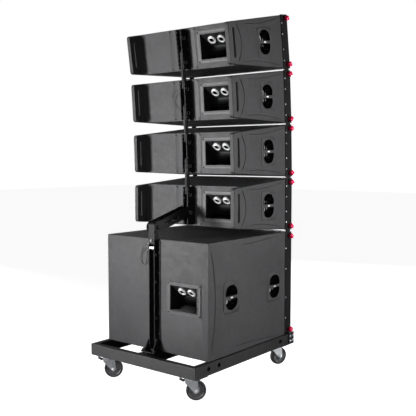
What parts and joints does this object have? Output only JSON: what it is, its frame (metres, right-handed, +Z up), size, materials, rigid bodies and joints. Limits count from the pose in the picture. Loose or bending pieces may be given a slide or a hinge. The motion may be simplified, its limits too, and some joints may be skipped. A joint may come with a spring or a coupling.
{
  "type": "line array speaker",
  "caption": "Wedge-shaped line array loudspeakers pinned in a curved stack on a subwoofer, with splay links at the rear, standing on a wheeled steel dolly.",
  "frame": {"origin": "on the floor, under the middle of the object's box", "axes": "+Z up, the loudspeakers fire towards -Y, +X is the loudspeakers' left as heard from the stage side"},
  "size_m": [0.746, 0.884, 1.9675],
  "materials": {
    "textured_paint": "plywood under matt textured dark grey paint",
    "black_steel": "satin black powder coat, worn at the edges",
    "perforated_steel": "black perforated sheet over dark acoustic foam",
    "black_plastic": "moulded black plastic with fine grain",
    "red_plastic": "glossy crimson moulded knob",
    "zinc": "bright zinc-plated pressed steel",
    "grey_rubber": "dark grey rubber tyre on a plastic hub",
    "driver_parts": "treated paper cone, rubber surround and black baffle",
    "steel_wire": "black coated steel wire rope"
  },
  "bodies": {
    "base": {"dolly_frame": "black_steel", "sub_cabinet": "textured_paint", "sub_grille": "perforated_steel", "sub_driver": "driver_parts", "sub_connector_dish": "black_plastic", "sub_left_rigging_plate": "black_steel", "sub_right_rigging_plate": "black_steel", "rear_post": "black_steel", "sub_lanyard": "steel_wire"},
    "rear_left_caster_swivel": {"rear_left_caster_fork": "zinc"},
    "rear_left_caster_roller": {"rear_left_caster_wheel": "grey_rubber"},
    "rear_left_caster_pedal": {"rear_left_caster_brake_pedal": "black_steel"},
    "front_left_caster_swivel": {"front_left_caster_fork": "zinc"},
    "front_left_caster_roller": {"front_left_caster_wheel": "grey_rubber"},
    "rear_right_caster_swivel": {"rear_right_caster_fork": "zinc"},
    "rear_right_caster_roller": {"rear_right_caster_wheel": "grey_rubber"},
    "rear_right_caster_pedal": {"rear_right_caster_brake_pedal": "black_steel"},
    "front_right_caster_swivel": {"front_right_caster_fork": "zinc"},
    "front_right_caster_roller": {"front_right_caster_wheel": "grey_rubber"},
    "element_1": {"element_1_cabinet": "textured_paint", "element_1_grille": "perforated_steel", "element_1_drivers": "driver_parts", "element_1_connector_dish": "black_plastic", "element_1_rear_rail": "black_steel", "element_1_left_rigging_plate": "black_steel", "element_1_right_rigging_plate": "black_steel"},
    "element_1_left_pin": {"element_1_left_hinge_pin": "red_plastic"},
    "element_1_right_pin": {"element_1_right_hinge_pin": "red_plastic"},
    "element_2": {"element_2_cabinet": "textured_paint", "element_2_grille": "perforated_steel", "element_2_drivers": "driver_parts", "element_2_connector_dish": "black_plastic", "element_2_rear_rail": "black_steel", "element_2_left_rigging_plate": "black_steel", "element_2_right_rigging_plate": "black_steel"},
    "element_2_left_pin": {"element_2_left_hinge_pin": "red_plastic"},
    "element_2_right_pin": {"element_2_right_hinge_pin": "red_plastic"},
    "element_3": {"element_3_cabinet": "textured_paint", "element_3_grille": "perforated_steel", "element_3_drivers": "driver_parts", "element_3_connector_dish": "black_plastic", "element_3_rear_rail": "black_steel", "element_3_left_rigging_plate": "black_steel", "element_3_right_rigging_plate": "black_steel", "element_3_lanyard": "steel_wire"},
    "element_3_left_pin": {"element_3_left_hinge_pin": "red_plastic"},
    "element_3_right_pin": {"element_3_right_hinge_pin": "red_plastic"},
    "element_4": {"element_4_cabinet": "textured_paint", "element_4_grille": "perforated_steel", "element_4_drivers": "driver_parts", "element_4_connector_dish": "black_plastic", "element_4_rear_rail": "black_steel", "element_4_left_rigging_plate": "black_steel", "element_4_right_rigging_plate": "black_steel"},
    "element_4_left_pin": {"element_4_left_hinge_pin": "red_plastic"},
    "element_4_right_pin": {"element_4_right_hinge_pin": "red_plastic"},
    "rear_link_1": {"element_1_rear_link": "black_steel"},
    "rear_link_2": {"element_2_rear_link": "black_steel"},
    "rear_link_3": {"element_3_rear_link": "black_steel"},
    "tilt_arm": {"tilt_arm": "black_steel"}
  },
  "joints": [
    {"name": "rear_left_caster_swivel", "type": "hinge", "parent": "base", "child": "rear_left_caster_swivel", "pos_m": [0.288, 0.384, 0.11], "axis": [0, 0, 1], "continuous": true},
    {"name": "rear_left_caster_roll", "type": "hinge", "parent": "rear_left_caster_swivel", "child": "rear_left_caster_roller", "pos_m": [0.26808, 0.36729, 0.05], "axis": [0.6428, -0.766, 0], "continuous": true},
    {"name": "rear_left_caster_brake", "type": "hinge", "parent": "rear_left_caster_swivel", "child": "rear_left_caster_pedal", "pos_m": [0.31022, 0.40264, 0.1015], "axis": [-0.6428, 0.766, 0], "range_deg": [0, 12]},
    {"name": "front_left_caster_swivel", "type": "hinge", "parent": "base", "child": "front_left_caster_swivel", "pos_m": [0.288, -0.364, 0.11], "axis": [0, 0, 1], "continuous": true},
    {"name": "front_left_caster_roll", "type": "hinge", "parent": "front_left_caster_swivel", "child": "front_left_caster_roller", "pos_m": [0.27911, -0.38843, 0.05], "axis": [0.9397, -0.342, 0], "continuous": true},
    {"name": "rear_right_caster_swivel", "type": "hinge", "parent": "base", "child": "rear_right_caster_swivel", "pos_m": [-0.288, 0.384, 0.11], "axis": [0, 0, 1], "continuous": true},
    {"name": "rear_right_caster_roll", "type": "hinge", "parent": "rear_right_caster_swivel", "child": "rear_right_caster_roller", "pos_m": [-0.30792, 0.36729, 0.05], "axis": [0.6428, -0.766, 0], "continuous": true},
    {"name": "rear_right_caster_brake", "type": "hinge", "parent": "rear_right_caster_swivel", "child": "rear_right_caster_pedal", "pos_m": [-0.26578, 0.40264, 0.1015], "axis": [-0.6428, 0.766, 0], "range_deg": [0, 12]},
    {"name": "front_right_caster_swivel", "type": "hinge", "parent": "base", "child": "front_right_caster_swivel", "pos_m": [-0.288, -0.364, 0.11], "axis": [0, 0, 1], "continuous": true},
    {"name": "front_right_caster_roll", "type": "hinge", "parent": "front_right_caster_swivel", "child": "front_right_caster_roller", "pos_m": [-0.29689, -0.38843, 0.05], "axis": [0.9397, -0.342, 0], "continuous": true},
    {"name": "element_1_splay", "type": "hinge", "parent": "base", "child": "element_1", "pos_m": [0, -0.413, 0.8005], "axis": [-1, 0, 0], "range_deg": [-2, 2]},
    {"name": "element_1_left_pin_pull", "type": "slide", "parent": "element_1", "child": "element_1_left_pin", "axis": [1, 0, 0], "range_m": [0, 0.045]},
    {"name": "element_1_right_pin_pull", "type": "slide", "parent": "element_1", "child": "element_1_right_pin", "axis": [-1, 0, 0], "range_m": [0, 0.045]},
    {"name": "element_2_splay", "type": "hinge", "parent": "element_1", "child": "element_2", "pos_m": [0, -0.413, 1.0995], "axis": [-1, 0, 0], "range_deg": [-2, 6]},
    {"name": "element_2_left_pin_pull", "type": "slide", "parent": "element_2", "child": "element_2_left_pin", "axis": [1, 0, 0], "range_m": [0, 0.045]},
    {"name": "element_2_right_pin_pull", "type": "slide", "parent": "element_2", "child": "element_2_right_pin", "axis": [-1, 0, 0], "range_m": [0, 0.045]},
    {"name": "element_3_splay", "type": "hinge", "parent": "element_2", "child": "element_3", "pos_m": [0, -0.40257, 1.39832], "axis": [-1, 0, 0], "range_deg": [-2, 6]},
    {"name": "element_3_left_pin_pull", "type": "slide", "parent": "element_3", "child": "element_3_left_pin", "axis": [1, 0, 0], "range_m": [0, 0.045]},
    {"name": "element_3_right_pin_pull", "type": "slide", "parent": "element_3", "child": "element_3_right_pin", "axis": [-1, 0, 0], "range_m": [0, 0.045]},
    {"name": "element_4_splay", "type": "hinge", "parent": "element_3", "child": "element_4", "pos_m": [0, -0.38171, 1.69659], "axis": [-1, 0, 0], "range_deg": [-4, 4]},
    {"name": "element_4_left_pin_pull", "type": "slide", "parent": "element_4", "child": "element_4_left_pin", "axis": [1, 0, 0], "range_m": [0, 0.045]},
    {"name": "element_4_right_pin_pull", "type": "slide", "parent": "element_4", "child": "element_4_right_pin", "axis": [-1, 0, 0], "range_m": [0, 0.045]},
    {"name": "rear_link_1_pivot", "type": "hinge", "parent": "element_1", "child": "rear_link_1", "pos_m": [0, 0.065, 0.992], "axis": [-1, 0, 0], "range_deg": [-0.6, 1.8]},
    {"name": "rear_link_2_pivot", "type": "hinge", "parent": "element_2", "child": "rear_link_2", "pos_m": [0, 0.07139, 1.2742], "axis": [-1, 0, 0], "range_deg": [-0.6, 1.8]},
    {"name": "rear_link_3_pivot", "type": "hinge", "parent": "element_3", "child": "rear_link_3", "pos_m": [0, 0.08763, 1.55601], "axis": [-1, 0, 0], "range_deg": [-1.2, 1.2]},
    {"name": "tilt_arm_pivot", "type": "hinge", "parent": "base", "child": "tilt_arm", "pos_m": [0, 0.331, 0.828], "axis": [-1, 0, 0], "range_deg": [-3.32, 3.32]}
  ],
  "couplings": [
    {"joint": "rear_link_1_pivot", "follows": "element_2_splay", "ratio": 0.3},
    {"joint": "rear_link_2_pivot", "follows": "element_3_splay", "ratio": 0.3},
    {"joint": "rear_link_3_pivot", "follows": "element_4_splay", "ratio": 0.3},
    {"joint": "tilt_arm_pivot", "follows": "element_1_splay", "ratio": -1.66}
  ]
}
